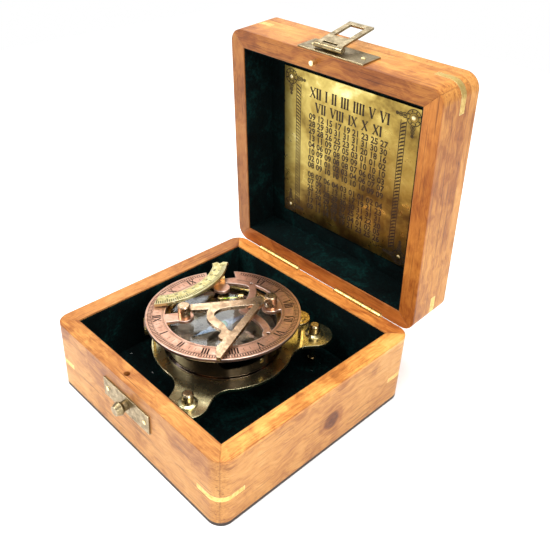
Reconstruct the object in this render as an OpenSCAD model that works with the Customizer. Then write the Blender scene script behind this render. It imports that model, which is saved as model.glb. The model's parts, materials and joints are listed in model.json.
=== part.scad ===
// Sundial compass in its hinged wooden case, in millimetres, +Z up.
// The origin is the centre of the case's underside. X runs along the hinges and +Y is the hinge side.

/* [Case] */
// Outside width and depth of the square case
case_w = 140; // [139.5:0.5:146]
// Height of the base with its bottom board
base_h = 43.5; // [42:0.5:48]
// Height of the lid
lid_h = 29.6; // [29:0.2:36]
// Gap between the closed lid and the base
rim_gap = 0.3; // [0.2:0.1:0.8]
// Thickness of the mitred side walls
wall_t = 9.8; // [9:0.1:10]
// Radius of the upright outer corners
corner_r = 8; // [4:0.5:9]
// Thickness of the dark bottom board
bottom_t = 2; // [1.5:0.5:3]
// Thickness of the lid's top panel
top_t = 6.6; // [4:0.2:7]
// Angle at which the lid stands open
lid_open = 86; // [60:1:95]

/* [Linings] */
// Thickness of the velvet on the walls
lining_t = 1; // [0.6:0.1:1.2]
// Thickness of the padded velvet floor
pad_t = 5; // [4:0.5:9]
// Thickness of the velvet under the lid's top
lid_pad_t = 1.5; // [1:0.1:2]
// Distance from the rim down to the edge of the wall velvet
lining_drop = 0.8; // [0.4:0.2:2]

/* [Corner keys] */
// Length of a key along each wall
key_len = 16; // [10:0.5:20]
// Thickness of the keys in the base
base_key_t = 3; // [2:0.2:5]
// Height of the middle of the base keys
base_key_z = 18.5; // [12:0.5:30]
// Thickness of the keys in the lid
lid_key_t = 4; // [2:0.2:5]
// Height of the middle of the lid keys above the lid's rim
lid_key_z = 17.2; // [8:0.4:20]

/* [Hinges] */
// Length of each hinge
hinge_len = 34; // [26:1:40]
// Distance of each hinge's middle from the case's middle
hinge_x = 32; // [28:1:40]
// Outside radius of the knuckles
knuckle_r = 1.5; // [1.4:0.1:2]
// Radius of the hinge pins
hinge_pin_r = 0.7; // [0.5:0.1:0.8]
// Thickness of the leaves
leaf_t = 0.9; // [0.6:0.1:1.2]
// Height of the leaves on the back walls, from the knuckle's axis
leaf_w = 8; // [6:0.5:9]
// Radius of the nails in the leaves
leaf_nail_r = 1; // [0.7:0.1:1.3]
// Length of the nails in the leaves
leaf_nail_len = 4; // [2:0.5:6]

/* [Catch and hasp] */
// Sideways place of the catch and the hasp
hasp_x = -1; // [-20:1:20]
// Width of the catch plate
catch_w = 39; // [34:1:46]
// Height of the catch plate
catch_h = 11.8; // [10:0.2:16]
// Height of the catch plate's middle
catch_z = 29.6; // [27:0.2:30]
// Thickness of the catch and hasp plates
plate_metal_t = 0.9; // [0.6:0.1:1.2]
// Radius of the catch stud's head
stud_r = 3.9; // [2.5:0.1:4]
// Length of the catch stud
stud_len = 7; // [5:0.5:9]
// Sideways place of the hasp's plate
hasp_plate_x = 2; // [-4:1:4]
// Width of the hasp's plate on the lid
hasp_plate_w = 43; // [36:1:50]
// Height of the hasp's plate on the lid
hasp_plate_h = 13.8; // [10:0.2:16]
// Distance of the hasp's axis above the lid's rim
hasp_axis_z = 4.4; // [3.6:0.2:5]
// Outside radius of the hasp's knuckles
hasp_knuckle_r = 1.7; // [1.5:0.1:2.2]
// Radius of the hasp's pin
hasp_pin_r = 0.8; // [0.6:0.1:1]
// Length of the hasp's whole barrel
hasp_barrel = 18; // [14:0.5:24]
// Width of the swinging hasp
hasp_w = 16; // [14:0.5:17.5]
// Length of the swinging hasp from its axis
hasp_len = 25.5; // [25:0.5:30]
// Thickness of the swinging hasp
hasp_t = 1.2; // [0.8:0.1:1.5]
// Width of the window in the hasp
window_w = 9.6; // [8.4:0.2:11]
// Length of the window in the hasp
window_len = 13.4; // [11:0.2:14]
// Width of the bar beyond the window
window_bar = 3; // [2:0.2:3.4]
// Angle of the open hasp above the lid's front
hasp_lift = 9; // [6:1:60]
// Radius of the nail heads in the catch, hasp and plaque
nail_r = 1.3; // [0.9:0.1:1.6]

/* [Locating pin] */
// Sideways place of the pin and its hole
pin_x = -6.4; // [-30:0.2:30]
// Distance of the pin from the case's front
pin_in = 4.8; // [3.5:0.1:6]
// Radius of the pin
pin_r = 1.4; // [1:0.1:1.8]
// Length of the pin out of the lid's rim
pin_len = 3; // [2:0.2:4]

/* [Plaque] */
// Width of the plaque in the lid
plaque_w = 95.6; // [80:0.4:104]
// Height of the plaque
plaque_h = 96; // [80:0.5:104]
// Thickness of the plaque
plaque_t = 0.8; // [0.5:0.1:1.2]
// Distance of the plaque's pins from its edges
plaque_pin_in = 5.4; // [4:0.2:8]

/* [Compass place] */
// Direction of the dial's south end
dial_az = 57; // [52:0.5:57.5]
// Place of the compass from front to back
dial_y = 1.9; // [0:0.1:3.2]
// Gap between the left ear and the velvet
ear_gap = 0.3; // [0.3:0.1:2]

/* [Base plate] */
// Thickness of the three-eared plate
plate_t = 1.8; // [1.2:0.1:2.4]
// How far the plate stands out past the bowl
plate_out = 7.8; // [6:0.1:8.5]
// Distance of the two long ears' screws from the plate's waist
ear_out = 12.7; // [10.5:0.1:13]
// Radius of the long ears
ear_r = 10.8; // [9:0.2:11]
// Radius of the left ear
left_ear_r = 9.6; // [8:0.2:11]
// Radius of the hollow between an ear and the waist
ear_fillet_r = 12; // [4:0.5:14]
// Turn of the ears from the dial's axis
ear_turn = -2; // [-3:0.5:2]
// Angle between the two long ears
ear_spread = 116; // [112:1:120]

/* [Levelling screws] */
// Height of the plate above the floor
leg_h = 18.2; // [14:0.2:21]
// Radius of the screws' shanks
shank_r = 1.9; // [1.5:0.1:2.4]
// Radius of the screws' heads
head_r = 3.1; // [2.6:0.1:3.8]
// Height of the screws' heads
head_h = 5.4; // [4:0.2:7.4]
// Radius of the collars on the ears
collar_r = 5.2; // [4.4:0.1:6]
// Height of the collars
collar_h = 1.2; // [0.8:0.2:2.4]
// Radius of the screws' feet
foot_r = 2.6; // [2.2:0.1:4]

/* [Bowl] */
// Outside radius of the bowl
bowl_r = 33; // [32:0.1:33.2]
// Height of the bowl above the plate
bowl_h = 15.4; // [15.2:0.2:20]
// Thickness of the bowl's upper wall
bowl_wall = 2.4; // [1.6:0.1:2.8]
// Thickness of the bowl's floor
bowl_floor = 1.4; // [1:0.1:2]
// How far the moulding at the bowl's foot stands out
moulding_out = 1.2; // [0.8:0.1:2]
// Height of the moulding
moulding_h = 1.8; // [1:0.1:3]
// Height of the bezel ring
bezel_h = 1.2; // [0.8:0.1:2]
// How far the bezel ring stands out past the bowl
bezel_out = 0.4; // [0.1:0.05:0.5]
// Thickness of the crystal
crystal_t = 1.4; // [1:0.1:2]
// Height of the card's seat above the plate
card_z = 6.4; // [5:0.2:6.8]
// Thickness of the compass card
card_t = 0.6; // [0.4:0.1:1]
// Radius of the small screws in the bowl's side
side_screw_r = 1.5; // [1:0.1:2]

/* [Needle] */
// Gap between the needle's tips and the spirit level
needle_room = 1.1; // [0.4:0.1:6]
// Width of the needle at its middle
needle_w = 7; // [6:0.2:9]
// Thickness of the needle
needle_t = 0.5; // [0.3:0.1:0.8]
// Height of the needle above the card
needle_z = 3.4; // [2.4:0.1:3.8]
// Radius of the jewelled cap
cap_r = 2.8; // [2:0.1:3]
// Radius of the pivot post
pivot_r = 0.6; // [0.4:0.1:0.9]
// Direction of the needle's north tip, from the dial's axis
needle_az = 205; // [0:5:360]

/* [Spirit level] */
// Length of the level
level_len = 15; // [12:0.5:18]
// Outside radius of the level's tube
level_r = 2.2; // [2:0.1:2.4]
// Wall of the level's tube
level_wall = 0.5; // [0.3:0.1:0.7]
// Distance of the level's middle from the bowl's wall
level_in = 6.6; // [6:0.1:7.4]
// Sideways place of the level's middle
level_x = 8; // [0:0.5:9]
// Height of the level's two feet
level_feet = 2.2; // [0.6:0.1:2.4]
// Length of the slot that shows the vial
level_slot = 9; // [6:0.5:10]

/* [Hour ring] */
// How far the hour ring stands out past the bowl
ring_out = 10.6; // [10:0.1:11.2]
// Width of the hour ring's band
ring_w = 11; // [10.8:0.1:11.4]
// Thickness of the hour ring
ring_t = 1.8; // [1.2:0.1:2.4]
// Gap between the bezel and the hour ring
ring_gap = 2.4; // [2.3:0.1:3]
// Opening of the hour ring at rest
ring_open = 1.5; // [0:0.1:1.6]
// Play of the hour ring in its hinge, which lowers its west side
ring_roll = 3.2; // [0:0.1:3.3]
// Half width of the notch on the west side
notch_half = 8.4; // [8:0.2:9]
// Sideways place of the notch's middle
notch_x = 4.4; // [4:0.1:4.8]
// Distance of the notch's floor past the band's inner edge
notch_step = 1.7; // [1.4:0.1:2]
// Width of the bar inside the notch
notch_bar = 4.4; // [4:0.1:5]
// Radius of the round lugs on the ring
lug_r = 5.2; // [4.6:0.1:5.6]
// Radius of the holes in the pierced scrolls
scroll_hole_r = 1; // [0.6:0.1:1.4]
// Width of the pierced scrolls
scroll_w = 4.2; // [3:0.2:5]

/* [Posts and gnomon] */
// Distance of the north post from the band's inner edge
north_in = 10.8; // [9:0.2:11.4]
// Distance of the south post from the band's inner edge
south_in = 5.4; // [5:0.1:5.8]
// Sideways place of the two posts
post_y = -0.6; // [-1:0.1:1]
// Radius of the posts
post_r = 3.5; // [3:0.1:3.8]
// Height of the posts above the ring
post_h = 7.4; // [6.6:0.2:9]
// Height of the gnomon's axis above the ring
gnomon_z = 4.4; // [4:0.1:4.8]
// Thickness of the gnomon
gnomon_t = 2.2; // [1.4:0.1:2.6]
// Width of the gnomon's hinge bar
gnomon_bar = 5.2; // [4.4:0.2:5.6]
// How far the gnomon reaches past the band's outer edge
gnomon_out = 0.4; // [-2:0.1:0.6]
// Width of the gnomon's style
style_w = 3.6; // [3:0.2:4.4]
// Radius of the gnomon's pivots
gnomon_pivot_r = 0.9; // [0.7:0.1:1]

/* [Latitude arc] */
// Middle of the quadrant, along the dial's axis
arc_x = -29; // [-29.4:0.1:-28.6]
// Distance of the quadrant's middle from its hinge
arc_rise = 16.5; // [16:0.1:16.8]
// Outside radius of the quadrant
arc_r = 38.8; // [38:0.1:39]
// Width of the quadrant's strip
arc_w = 8.4; // [7:0.2:8.8]
// Thickness of the quadrant's strip
arc_t = 1.8; // [1.2:0.1:2]
// Slope of the folded quadrant
arc_slope = 5.7; // [5.5:0.1:6]
// Distance of the quadrant's hinge from the notch's floor
arc_hinge_in = 1.6; // [1.5:0.05:1.8]
// Height of the quadrant's hinge above the ring
arc_hinge_z = 1.7; // [1.6:0.1:1.8]
// Radius of the quadrant's hinge barrel
arc_barrel_r = 1.3; // [1.1:0.1:1.4]
// Radius of the quadrant's hinge pin
arc_pin_r = 0.6; // [0.4:0.1:0.7]

/* [Ring hinge and rest] */
// Distance of the ring's hinge from its outer edge
ring_hinge_in = 0.4; // [0.2:0.1:1]
// Radius of the ring's hinge knuckles
ring_knuckle_r = 1.15; // [1:0.05:1.2]
// Radius of the ring's hinge pin
ring_pin_r = 0.6; // [0.4:0.05:0.7]
// Radius of the round pads under the ring's two ends
pad_r = 6.7; // [5.5:0.1:7]
// Distance of the pads' middle past the ring's edge
pad_out = -0.3; // [-0.6:0.1:0.6]
// Thickness of the pads and of their straps
strap_t = 1.5; // [1:0.1:2]
// Width of the pads' straps
strap_w = 7; // [5:0.5:9]
// Distance of the ring hinge's strap from the plate's edge
strap_in = 1; // [0.4:0.1:2]
// How far the ring's rest lies below the ring's hinge pad
rest_drop = 1.6; // [1:0.1:2.2]

/* [Clearances] */
// Clearance of a piece laid in a recess
lay_gap = 0.1; // [0.05:0.05:0.2]
// Gap between pieces that pass each other
pass_gap = 0.3; // [0.2:0.05:0.4]
// Running clearance of a pin in its hole
run_gap = 0.05; // [0.03:0.01:0.08]

/* [Hidden] */

// Smoothness of round shapes
fine = 96;
mid = 48;
small = 24;

// Case
half = case_w / 2;
inner = case_w - 2 * wall_t;
floor_z = bottom_t + pad_t;
lined = inner / 2 - lining_t;
lid_top_in = base_h + lid_h - top_t;
plaque_z = lid_top_in - lid_pad_t - plaque_t;
long = 2 * case_w;
cut = 0.5;
nail_h = 0.5;

// Hinges: the axis is the case's back top edge
knuckle_count = 5;
knuckle_pitch = hinge_len / knuckle_count;
knuckle_room = knuckle_r + pass_gap;
leaf_sink = leaf_t + pass_gap / 2;

// Hasp: its axis stands in front of the case
hasp_axis_y = -half - plate_metal_t - hasp_knuckle_r - pass_gap;
hasp_axis_up = base_h + hasp_axis_z;
hasp_knuckle = hasp_barrel / 4;

// Compass, from the floor up
plate_top = floor_z + leg_h + plate_t;
bowl_top = plate_top + bowl_h;
bezel_top = bowl_top + bezel_h;
ring_z = bezel_top + ring_gap;
ring_top = ring_z + ring_t;
bowl_in_r = bowl_r - bowl_wall;
bezel_r = bowl_r + bezel_out;
moulding_r = bowl_r + moulding_out;
waist_r = bowl_r + plate_out;
ear_reach = waist_r + ear_out;
ring_r = bowl_r + ring_out;
ring_in_r = ring_r - ring_w;
ring_hinge_x = ring_r - ring_hinge_in;
pad_x = ring_r + pad_out;
level_y = bowl_in_r - level_in;
needle_len = level_y - level_r - needle_room;
left_reach = moulding_r + collar_r + 2 * pass_gap;
dial_x = -lined + ear_gap + left_reach + left_ear_r;
glass_z = bowl_top - crystal_t;
card_top = plate_top + card_z + card_t;
needle_base = card_top + needle_z;
level_z = card_top + level_feet + level_r;
// Ears of the plate: direction, reach to the screw and radius
EARS = [[ear_turn, ear_reach, ear_r], [ear_turn + 180 - ear_spread / 2, left_reach, left_ear_r],
    [ear_turn - ear_spread, ear_reach, ear_r]];

// Posts and gnomon
post_n = ring_in_r - north_in;
post_s = ring_in_r - south_in;
gnomon_len = ring_r + gnomon_out;
gnomon_axis = ring_top + gnomon_z;
gnomon_drop = asin((gnomon_z - gnomon_t / 2 - pass_gap) / gnomon_len);
gnomon_from = -post_n + post_r + pass_gap;
gnomon_to = post_s - post_r - pass_gap;
pivot_in = 2;

// Latitude arc
notch_y = ring_in_r + notch_step;
arc_hinge_y = notch_y - arc_hinge_in;
arc_y = arc_hinge_y + arc_rise;
arc_axis = ring_top + arc_hinge_z;
arc_end = [arc_x - arc_r * sin(13), arc_y - arc_r * cos(13)];
arc_low = ring_top + pass_gap;
barrel_from = -3.6;
barrel_to = 2.4;
arc_web_top = arc_low + (barrel_to - arc_end[0]) * tan(arc_slope) + arc_t / 2;
cheek = 3;

// Ring hinge and rest
ring_lug_w = 5;
bracket_lug_w = 2.6;
hinge_w = ring_lug_w + 2 * bracket_lug_w + 2 * pass_gap;
ring_low = ring_hinge_x * sin(ring_open) + hinge_w / 2 * sin(ring_roll);
ring_hinge_z = ring_z - ring_low - pass_gap - ring_knuckle_r;
pad_top = ring_hinge_z - ring_knuckle_r - pass_gap;
rest_top = pad_top - rest_drop;

// Holes of the pierced scrolls
scroll_hole = polar(ring_in_r, 51);

// Shapes used more than once

// A point at radius r and angle a
function polar(r, a) = r * [cos(a), sin(a)];

// Points of a cubic curve through the four control points of p
function curve(p, n = 12) = [for (i = [0:n]) let (t = i / n, s = 1 - t)
    s * s * s * p[0] + 3 * s * s * t * p[1] + 3 * s * t * t * p[2] + t * t * t * p[3]];
// Direction of that curve at t
function slope(p, t) = let (s = 1 - t,
    d = 3 * s * s * (p[1] - p[0]) + 6 * s * t * (p[2] - p[1]) + 3 * t * t * (p[3] - p[2])) d / norm(d);
// Outline of a strip of width w along that curve
function strip(p, w, n = 14) = let (c = curve(p, n), h = w / 2)
    concat([for (i = [0:n]) c[i] + h * [-slope(p, i / n)[1], slope(p, i / n)[0]]],
        [for (i = [n:-1:0]) c[i] - h * [-slope(p, i / n)[1], slope(p, i / n)[0]]]);

module rounded_square(w, r) {
    square([w - 2 * r, w], center = true);
    square([w, w - 2 * r], center = true);
    for (x = [-1, 1], y = [-1, 1]) translate([x, y] * (w / 2 - r)) circle(r, $fn = mid);
}

// The quarter of the square that belongs to the wall on side turn * 90 degrees
module mitred(turn) {
    rotate(turn * 90) polygon([[0, 0], [-long, -long], [long, -long]]);
}

// One mitred wall; turn 0 is the front, 1 the right, 2 the back and 3 the left
module wall(turn, z, h) {
    translate([0, 0, z]) linear_extrude(h) intersection() {
        difference() {
            rounded_square(case_w, corner_r);
            square(inner, center = true);
        }
        mitred(turn);
    }
}

// Triangular keys across the four upright corners
module corner_keys(z, t) {
    translate([0, 0, z - t / 2]) linear_extrude(t) intersection() {
        rounded_square(case_w, corner_r);
        for (a = [0:90:270]) rotate(a)
            polygon([[half, half], [half - key_len, half], [half, half - key_len]]);
    }
}

// Velvet on the four inner walls
module side_linings(z, h) {
    w = inner - 2 * lay_gap;
    for (s = [-1, 1]) {
        translate([-w / 2, s * (inner / 2 - lay_gap - lining_t / 2) - lining_t / 2, z])
            cube([w, lining_t, h]);
        translate([s * (inner / 2 - lay_gap - lining_t / 2) - lining_t / 2, -lined + 2 * lay_gap, z])
            cube([lining_t, 2 * (lined - 2 * lay_gap), h]);
    }
}

module along_x(r, from, to, fn = small) {
    translate([from, 0, 0]) rotate([0, 90, 0]) cylinder(h = to - from, r = r, $fn = fn);
}

// A domed nail head that points to +Z
module nail_head(r) {
    cylinder(h = nail_h * 0.6, r = r, $fn = small);
    translate([0, 0, nail_h * 0.6]) cylinder(h = nail_h * 0.4, r1 = r, r2 = r * 0.6, $fn = small);
}

module each_hinge() {
    for (s = [-1, 1]) translate([s * hinge_x, half, base_h]) children();
}

// Room for the knuckles and a leaf in a back wall; up is 1 for the base and -1 for the lid
module hinge_room(up) {
    each_hinge() {
        along_x(knuckle_room, -hinge_len / 2 - pass_gap, hinge_len / 2 + pass_gap, mid);
        translate([-hinge_len / 2 - pass_gap, -leaf_sink, up > 0 ? -leaf_w - pass_gap : 0])
            cube([hinge_len + 2 * pass_gap, leaf_sink + cut, leaf_w + pass_gap]);
    }
}

// One leaf with the knuckles whose numbers are in own; up is 1 for the base leaf
module leaf(own, up) {
    difference() {
        union() {
            translate([-hinge_len / 2, -leaf_sink, up > 0 ? -leaf_w : knuckle_room])
                cube([hinge_len, leaf_t, leaf_w - knuckle_room]);
            for (k = own) translate([-hinge_len / 2 + k * knuckle_pitch, 0, 0]) {
                along_x(knuckle_r, pass_gap / 2, knuckle_pitch - pass_gap / 2, mid);
                translate([pass_gap / 2, -leaf_sink, up > 0 ? -leaf_w / 2 : 0])
                    cube([knuckle_pitch - pass_gap, leaf_t, leaf_w / 2]);
            }
        }
        along_x(hinge_pin_r + run_gap, -hinge_len, hinge_len, small);
        leaf_nails(up);
    }
}

// Nails flush with the leaves; up is 1 for the base leaf
module leaf_nails(up) {
    for (x = [-1, 1]) translate([x * hinge_len * 0.36, leaf_t - leaf_sink, -up * leaf_w * 0.62])
        rotate([90, 0, 0]) cylinder(h = leaf_nail_len, r = leaf_nail_r, $fn = small);
}

// Moves the lid from closed to its open place
module opened() {
    translate([0, half, base_h]) rotate([-lid_open, 0, 0]) translate([0, -half, -base_h]) children();
}

// The dial's own axes: +X is its south end and +Y its west side
module dial() {
    translate([dial_x, dial_y, 0]) rotate(dial_az) children();
}

module tube(outer, bore, h) {
    difference() {
        cylinder(h = h, r = outer, $fn = fine);
        translate([0, 0, -cut]) cylinder(h = h + 2 * cut, r = bore, $fn = fine);
    }
}

// Base of the case

module base_board() {
    color("#2b1a12") linear_extrude(bottom_t) rounded_square(case_w, corner_r);
}

module base_wall(turn) {
    color("#b9743f") difference() {
        wall(turn, bottom_t, base_h - bottom_t);
        corner_keys(base_key_z, base_key_t);
        if (turn == 2) hinge_room(1);
        if (turn == 2) each_hinge() leaf_nails(1);
        if (turn == 0) translate([pin_x, -half + pin_in, base_h - pin_len - cut])
            cylinder(h = pin_len + 2 * cut, r = pin_r + pass_gap, $fn = small);
    }
}

module base_corner_keys() {
    color("#e0b95a") corner_keys(base_key_z, base_key_t);
}

module base_floor_pad() {
    w = inner - 2 * lay_gap;
    color("#0d3a30") translate([-w / 2, -w / 2, bottom_t]) cube([w, w, pad_t]);
}

module base_side_linings() {
    color("#104437") side_linings(floor_z, base_h - lining_drop - floor_z);
}

module catch_plate() {
    color("#9c8a63") translate([hasp_x - catch_w / 2, -half - plate_metal_t, catch_z - catch_h / 2])
        cube([catch_w, plate_metal_t, catch_h]);
}

module catch_stud() {
    color("#a8956b") translate([hasp_x, -half - plate_metal_t, catch_z]) rotate([90, 0, 0]) {
        cylinder(h = stud_len * 0.3, r = stud_r * 0.7, $fn = small);
        translate([0, 0, stud_len * 0.3])
            cylinder(h = stud_len * 0.25, r1 = stud_r * 0.7, r2 = stud_r, $fn = small);
        translate([0, 0, stud_len * 0.55])
            cylinder(h = stud_len * 0.45, r1 = stud_r, r2 = stud_r * 0.68, $fn = small);
    }
}

module catch_nails() {
    color("#c2ad7c") for (s = [-1, 1])
        translate([hasp_x + s * catch_w * 0.41, -half - plate_metal_t, catch_z])
        rotate([90, 0, 0]) nail_head(nail_r);
}

module base_hinge_leaves() {
    color("#d8b25a") each_hinge() leaf([0, 2, 4], 1);
}

module base_hinge_nails() {
    color("#c9a24a") each_hinge() leaf_nails(1);
}

module hinge_pins() {
    color("#8d7440") each_hinge() along_x(hinge_pin_r, -hinge_len / 2, hinge_len / 2);
}

// Lid, drawn closed and then opened

module lid_wall(turn) {
    color("#bd7a45") opened() difference() {
        wall(turn, base_h + rim_gap, lid_h - top_t - rim_gap);
        corner_keys(base_h + lid_key_z, lid_key_t);
        if (turn == 2) hinge_room(-1);
        if (turn == 2) each_hinge() leaf_nails(-1);
        if (turn == 0) translate([pin_x, -half + pin_in, base_h - cut])
            cylinder(h = pin_len + cut, r = pin_r, $fn = small);
    }
}

module lid_top_panel() {
    color("#b87440") opened() translate([0, 0, lid_top_in])
        linear_extrude(top_t) rounded_square(case_w, corner_r);
}

module lid_corner_keys() {
    color("#e6c25c") opened() corner_keys(base_h + lid_key_z, lid_key_t);
}

module lid_top_lining() {
    w = inner - 2 * lay_gap;
    color("#104437") opened() translate([-w / 2, -w / 2, lid_top_in - lid_pad_t]) cube([w, w, lid_pad_t]);
}

module lid_side_linings() {
    color("#124a3b") opened() side_linings(base_h + lining_drop, lid_h - top_t - lid_pad_t - lining_drop);
}

module plaque() {
    color("#b79a4b") opened() translate([-plaque_w / 2, -plaque_h / 2, plaque_z])
        cube([plaque_w, plaque_h, plaque_t]);
}

module plaque_pins() {
    color("#dcc98a") opened() for (x = [-1, 1], y = [-1, 1])
        translate([x * (plaque_w / 2 - plaque_pin_in), y * (plaque_h / 2 - plaque_pin_in), plaque_z])
            rotate([180, 0, 0]) nail_head(nail_r);
}

module hasp_plate() {
    color("#9c8a63") opened() {
        translate([hasp_plate_x - hasp_plate_w / 2, -half - plate_metal_t, base_h + 1])
            cube([hasp_plate_w, plate_metal_t, hasp_plate_h]);
        difference() {
            translate([hasp_x - hasp_knuckle, 0, 0]) union() {
                translate([0, hasp_axis_y, hasp_axis_up]) along_x(hasp_knuckle_r, 0, 2 * hasp_knuckle, mid);
                translate([0, hasp_axis_y, hasp_axis_up + hasp_knuckle_r - hasp_t])
                    cube([2 * hasp_knuckle, -half - plate_metal_t - hasp_axis_y, hasp_t]);
            }
            translate([hasp_x, hasp_axis_y, hasp_axis_up]) along_x(hasp_pin_r, -long, long);
        }
    }
}

module hasp_nails() {
    color("#c2ad7c") opened() for (s = [-1, 1])
        translate([hasp_plate_x + s * hasp_plate_w * 0.38, -half - plate_metal_t,
            base_h + 1 + hasp_plate_h / 2])
            rotate([90, 0, 0]) nail_head(nail_r);
}

module hasp_pin() {
    color("#7d6c48") opened() translate([hasp_x, hasp_axis_y, hasp_axis_up])
        along_x(hasp_pin_r, -hasp_barrel / 2, hasp_barrel / 2);
}

// The swinging hasp, drawn along +Z from its axis with its face to -Y
module hasp() {
    color("#b39f73") opened() translate([hasp_x, hasp_axis_y, hasp_axis_up])
        rotate([hasp_lift, 0, 0]) difference() {
        union() {
            for (s = [0, 1]) mirror([s, 0, 0]) {
                along_x(hasp_knuckle_r, hasp_knuckle + pass_gap, hasp_barrel / 2, mid);
                translate([hasp_knuckle + pass_gap, -hasp_knuckle_r, 0])
                    cube([hasp_w / 2 - hasp_knuckle - pass_gap, hasp_t, hasp_knuckle_r * 3]);
            }
            translate([-hasp_w / 2, -hasp_knuckle_r, hasp_knuckle_r + pass_gap])
                cube([hasp_w, hasp_t, hasp_len - hasp_knuckle_r - pass_gap]);
        }
        along_x(hasp_pin_r + run_gap, -hasp_w, hasp_w);
        translate([-window_w / 2, -hasp_knuckle_r - cut, hasp_len - window_bar - window_len])
            cube([window_w, hasp_t + 2 * cut, window_len]);
    }
}

module locating_pin() {
    color("#e0c060") opened() translate([pin_x, -half + pin_in, base_h - pin_len])
        cylinder(h = 2 * pin_len, r = pin_r, $fn = small);
}

module lid_hinge_leaves() {
    color("#d8b25a") opened() each_hinge() leaf([1, 3], -1);
}

module lid_hinge_nails() {
    color("#c9a24a") opened() each_hinge() leaf_nails(-1);
}

// Compass

module plate_outline() {
    offset(r = -ear_fillet_r) offset(r = ear_fillet_r) union() {
        circle(waist_r, $fn = fine);
        for (e = EARS) rotate(e[0]) {
            translate([e[1], 0]) circle(e[2], $fn = mid);
            translate([0, -e[2]]) square([e[1], 2 * e[2]]);
        }
    }
}

module at_ears() {
    for (e = EARS) rotate(e[0]) translate([e[1], 0, 0]) children();
}

module base_plate() {
    color("#7d7448") dial() difference() {
        translate([0, 0, plate_top - plate_t]) linear_extrude(plate_t) plate_outline($fn = mid);
        at_ears() translate([0, 0, plate_top - plate_t - cut])
            cylinder(h = plate_t + 2 * cut, r = shank_r + run_gap, $fn = small);
    }
}

module ear_collars() {
    color("#8a7d4c") dial() at_ears() translate([0, 0, plate_top]) difference() {
        union() {
            cylinder(h = collar_h / 2, r = collar_r, $fn = mid);
            translate([0, 0, collar_h / 2])
                cylinder(h = collar_h / 2, r1 = collar_r, r2 = head_r + 0.5, $fn = mid);
        }
        translate([0, 0, -cut]) cylinder(h = collar_h + 2 * cut, r = shank_r + run_gap, $fn = small);
    }
}

module levelling_screw(k) {
    e = EARS[k];
    color("#a08a55") dial() rotate(e[0]) translate([e[1], 0, 0]) {
        translate([0, 0, floor_z + pass_gap])
            cylinder(h = foot_r, r1 = foot_r * 0.6, r2 = foot_r, $fn = small);
        translate([0, 0, floor_z + pass_gap + foot_r])
            cylinder(h = leg_h + plate_t + collar_h - foot_r, r = shank_r, $fn = small);
        translate([0, 0, plate_top + collar_h + pass_gap]) {
            cylinder(h = head_h * 0.85, r = head_r, $fn = mid);
            translate([0, 0, head_h * 0.85])
                cylinder(h = head_h * 0.15, r1 = head_r, r2 = head_r * 0.75, $fn = mid);
        }
    }
}

module bowl() {
    color("#3a2f22") dial() translate([0, 0, plate_top]) rotate_extrude($fn = fine) polygon([
        [0, 0], [moulding_r, 0], [moulding_r, moulding_h * 0.6], [bowl_r, moulding_h], [bowl_r, bowl_h],
        [bowl_in_r + bowl_wall / 2, bowl_h], [bowl_in_r + bowl_wall / 2, bowl_h - crystal_t],
        [bowl_in_r, bowl_h - crystal_t], [bowl_in_r, card_z], [bowl_in_r - bowl_wall, card_z],
        [bowl_in_r - bowl_wall, bowl_floor], [0, bowl_floor]]);
}

module bowl_screws() {
    color("#b89a58") dial() for (a = [-59, 61, 181]) rotate(a)
        translate([bowl_r, 0, plate_top + bowl_h * 0.45])
        rotate([0, 90, 0]) nail_head(side_screw_r);
}

module bezel() {
    bore = bowl_in_r - pass_gap;
    color("#a98f4e") dial() translate([0, 0, bowl_top]) rotate_extrude($fn = fine) polygon([
        [bore, 0], [bezel_r, 0], [bezel_r, bezel_h * 0.6], [bezel_r - bezel_h * 0.4, bezel_h],
        [bore + bezel_h * 0.4, bezel_h], [bore, bezel_h * 0.6]]);
}

module crystal() {
    color([0.85, 0.95, 0.95, 0.3]) dial() translate([0, 0, glass_z])
        cylinder(h = crystal_t, r = bowl_in_r + bowl_wall / 2 - lay_gap, $fn = fine);
}

module compass_card() {
    color("#4a4438") dial() translate([0, 0, plate_top + card_z])
        cylinder(h = card_t, r = bowl_in_r - lay_gap, $fn = fine);
}

module needle_pivot() {
    color("#c8b070") dial() translate([0, 0, card_top]) {
        cylinder(h = needle_z * 0.6, r = pivot_r, $fn = small);
        translate([0, 0, needle_z * 0.6])
            cylinder(h = needle_z * 0.4, r1 = pivot_r, r2 = pivot_r / 3, $fn = small);
    }
}

module level_tube() {
    color("#c9a64e") dial() translate([level_x, level_y, level_z]) difference() {
        union() {
            along_x(level_r, -level_len / 2, level_len / 2, mid);
            for (s = [-1, 1]) translate([s * level_len * 0.3 - level_r / 2, -level_r / 2, card_top - level_z])
                cube([level_r, level_r, level_z - card_top]);
        }
        along_x(level_r - level_wall, -level_len / 2 + level_wall, level_len / 2 - level_wall, mid);
        translate([-level_slot / 2, -level_r, level_r * 0.3]) cube([level_slot, 2 * level_r, level_r]);
    }
}

module level_vial() {
    color([0.7, 0.85, 0.35, 0.6]) dial() translate([level_x, level_y, level_z])
        along_x(level_r - level_wall - lay_gap, -level_len / 2 + 2 * level_wall,
            level_len / 2 - 2 * level_wall, mid);
}

// An upright strap that stands on the plate at x, up to top
module strap(x, top) {
    translate([x, -strap_w / 2, plate_top]) cube([strap_t, strap_w, top - plate_top]);
}

module across(r, w) {
    translate([0, -w / 2, 0]) rotate([-90, 0, 0]) cylinder(h = w, r = r, $fn = small);
}

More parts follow.
